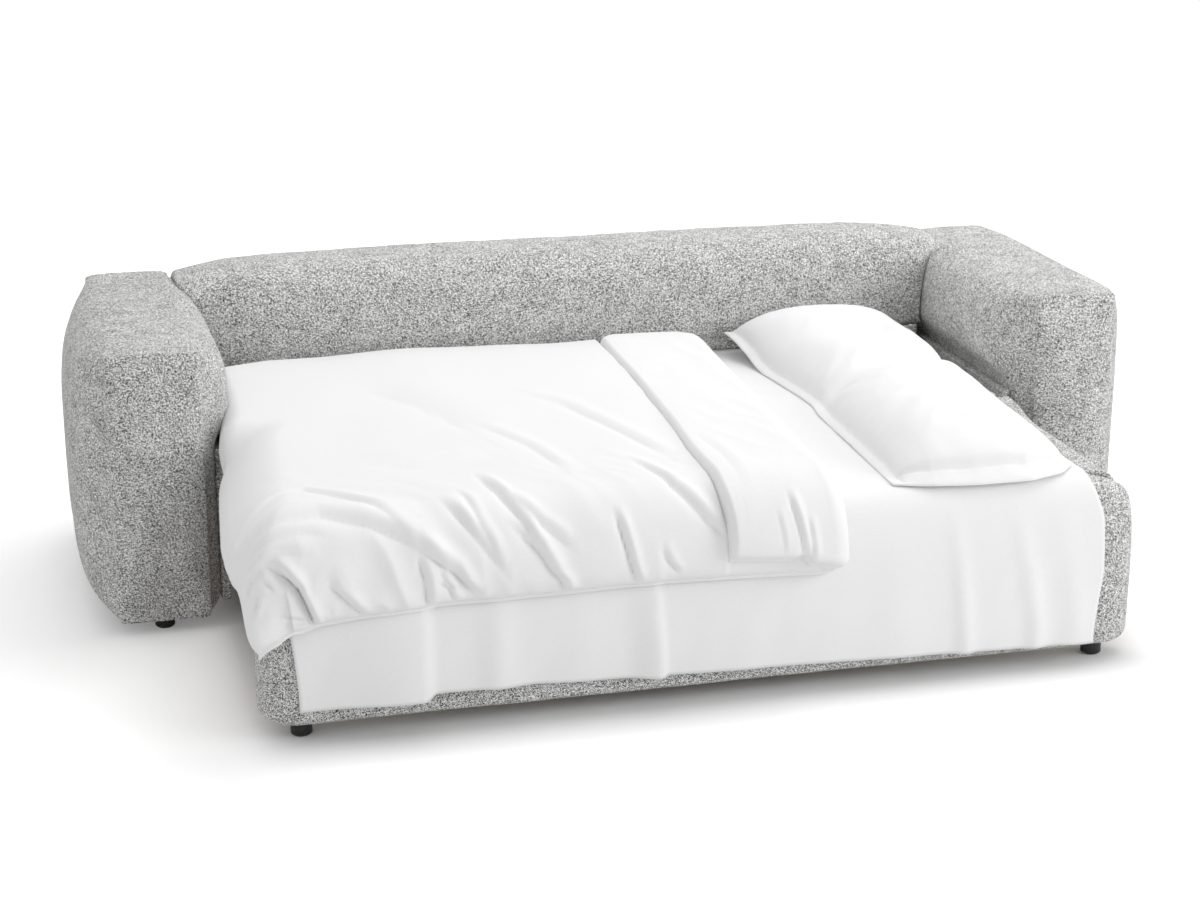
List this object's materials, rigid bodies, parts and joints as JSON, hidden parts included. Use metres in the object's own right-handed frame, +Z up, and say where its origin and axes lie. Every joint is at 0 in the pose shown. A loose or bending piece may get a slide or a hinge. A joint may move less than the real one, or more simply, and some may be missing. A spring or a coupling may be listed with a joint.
{
  "type": "sleeper sofa",
  "caption": "Upholstered sofa with thick rounded arms, a back bolster and a pull-out bed made up with a sheet, a duvet and a pillow.",
  "frame": {"origin": "bottom centre of the bounding box, on the floor", "axes": "+X along the sofa towards the pillow's side, +Y from the bed's front towards the sofa's back, +Z up"},
  "size_m": [2.4946, 1.5326, 0.6805],
  "materials": {
    "tweed": "woven grey boucle with light and dark flecks",
    "cotton": "plain white cotton",
    "plywood": "raw plywood, hidden inside",
    "timber": "planed softwood slats",
    "steel": "grey coated steel profile",
    "nylon": "black nylon",
    "foot": "black satin plastic"
  },
  "bodies": {
    "sofa_frame": {"arm_left_cover": "tweed", "arm_left_frame": "plywood", "foot_arm_left_front": "foot", "foot_arm_left_rear": "foot", "foot_back_left": "foot", "arm_right_cover": "tweed", "arm_right_frame": "plywood", "foot_arm_right_front": "foot", "foot_arm_right_rear": "foot", "foot_back_right": "foot", "back_bolster": "tweed", "back_panel": "plywood", "back_shelf": "plywood", "back_lower_cover": "tweed", "side_board_left": "tweed", "side_board_right": "tweed", "ramp_channel_left_1": "steel", "ramp_channel_left_2": "steel", "ramp_channel_right_1": "steel", "ramp_channel_right_2": "steel"},
    "bed_unit": {"foot_bed_left": "foot", "foot_bed_right": "foot", "bed_front_cover": "tweed", "bed_front_board": "plywood", "bed_beam_left": "steel", "bed_beam_right": "steel", "bed_front_pad": "tweed", "bed_ramp_board": "plywood", "bed_slat_1": "timber", "bed_slat_2": "timber", "bed_slat_3": "timber", "bed_slat_4": "timber", "bed_slat_5": "timber"},
    "rear_section": {"rear_pad": "tweed", "rear_slat_1": "timber", "rear_slat_2": "timber", "rear_slat_3": "timber", "rear_slat_4": "timber", "rear_side_left": "plywood", "rear_side_right": "plywood", "rear_cross_front": "plywood", "rear_cross_back": "plywood"},
    "sheet": {"sheet": "cotton"},
    "duvet": {"duvet": "cotton"},
    "pillow": {"pillow": "cotton"},
    "support_roller_left_1": {"support_roller_left_1": "nylon"},
    "support_roller_left_2": {"support_roller_left_2": "nylon"},
    "support_roller_left_3": {"support_roller_left_3": "nylon"},
    "support_roller_right_1": {"support_roller_right_1": "nylon"},
    "support_roller_right_2": {"support_roller_right_2": "nylon"},
    "support_roller_right_3": {"support_roller_right_3": "nylon"},
    "ramp_roller_left_1": {"ramp_roller_left_1": "nylon"},
    "ramp_roller_left_2": {"ramp_roller_left_2": "nylon"},
    "ramp_roller_right_1": {"ramp_roller_right_1": "nylon"},
    "ramp_roller_right_2": {"ramp_roller_right_2": "nylon"}
  },
  "joints": [
    {"name": "bed_slide", "type": "slide", "parent": "sofa_frame", "child": "bed_unit", "axis": [0, 1, 0], "range_m": [0, 0.6], "deforming": ["sheet", "duvet", "pillow"]},
    {"name": "rear_section_slide", "type": "slide", "parent": "sofa_frame", "child": "rear_section", "axis": [0, 0.766, -0.6428], "range_m": [0, 0.3305]},
    {"name": "support_roller_left_1_spin", "type": "hinge", "parent": "sofa_frame", "child": "support_roller_left_1", "pos_m": [-0.9078, 0.02358, 0.3112], "axis": [1, 0, 0], "range_deg": [-2150, 0]},
    {"name": "support_roller_left_2_spin", "type": "hinge", "parent": "sofa_frame", "child": "support_roller_left_2", "pos_m": [-0.9078, 0.10859, 0.3112], "axis": [1, 0, 0], "range_deg": [-2150, 0]},
    {"name": "support_roller_left_3_spin", "type": "hinge", "parent": "sofa_frame", "child": "support_roller_left_3", "pos_m": [-0.9078, 0.45859, 0.3112], "axis": [1, 0, 0], "range_deg": [-2150, 0]},
    {"name": "ramp_roller_left_1_spin", "type": "hinge", "parent": "rear_section", "child": "ramp_roller_left_1", "pos_m": [-0.9076, 0.00859, 0.262], "axis": [1, 0, 0], "range_deg": [-1577, 0]},
    {"name": "ramp_roller_left_2_spin", "type": "hinge", "parent": "rear_section", "child": "ramp_roller_left_2", "pos_m": [-0.9076, 0.41858, 0.262], "axis": [1, 0, 0], "range_deg": [-1577, 0]},
    {"name": "support_roller_right_1_spin", "type": "hinge", "parent": "sofa_frame", "child": "support_roller_right_1", "pos_m": [0.9078, 0.02358, 0.3112], "axis": [1, 0, 0], "range_deg": [-2150, 0]},
    {"name": "support_roller_right_2_spin", "type": "hinge", "parent": "sofa_frame", "child": "support_roller_right_2", "pos_m": [0.9078, 0.10859, 0.3112], "axis": [1, 0, 0], "range_deg": [-2150, 0]},
    {"name": "support_roller_right_3_spin", "type": "hinge", "parent": "sofa_frame", "child": "support_roller_right_3", "pos_m": [0.9078, 0.45859, 0.3112], "axis": [1, 0, 0], "range_deg": [-2150, 0]},
    {"name": "ramp_roller_right_1_spin", "type": "hinge", "parent": "rear_section", "child": "ramp_roller_right_1", "pos_m": [0.9076, 0.00859, 0.262], "axis": [1, 0, 0], "range_deg": [-1577, 0]},
    {"name": "ramp_roller_right_2_spin", "type": "hinge", "parent": "rear_section", "child": "ramp_roller_right_2", "pos_m": [0.9076, 0.41858, 0.262], "axis": [1, 0, 0], "range_deg": [-1577, 0]},
    {"name": "sheet_lift", "type": "slide", "parent": "sofa_frame", "child": "sheet", "axis": [0, 0, 1], "range_m": [0, 0.5]},
    {"name": "duvet_lift", "type": "slide", "parent": "sheet", "child": "duvet", "axis": [0, 0, 1], "range_m": [0, 0.4]},
    {"name": "pillow_lift", "type": "slide", "parent": "sheet", "child": "pillow", "axis": [0, 0, 1], "range_m": [0, 0.4]}
  ],
  "couplings": [
    {"joint": "rear_section_slide", "follows": "bed_slide", "ratio": 0.55},
    {"joint": "support_roller_left_1_spin", "follows": "bed_slide", "rad_per_m": -62.5},
    {"joint": "support_roller_left_2_spin", "follows": "bed_slide", "rad_per_m": -62.5},
    {"joint": "support_roller_left_3_spin", "follows": "bed_slide", "rad_per_m": -62.5},
    {"joint": "ramp_roller_left_1_spin", "follows": "bed_slide", "rad_per_m": -45.833},
    {"joint": "ramp_roller_left_2_spin", "follows": "bed_slide", "rad_per_m": -45.833},
    {"joint": "support_roller_right_1_spin", "follows": "bed_slide", "rad_per_m": -62.5},
    {"joint": "support_roller_right_2_spin", "follows": "bed_slide", "rad_per_m": -62.5},
    {"joint": "support_roller_right_3_spin", "follows": "bed_slide", "rad_per_m": -62.5},
    {"joint": "ramp_roller_right_1_spin", "follows": "bed_slide", "rad_per_m": -45.833},
    {"joint": "ramp_roller_right_2_spin", "follows": "bed_slide", "rad_per_m": -45.833}
  ]
}
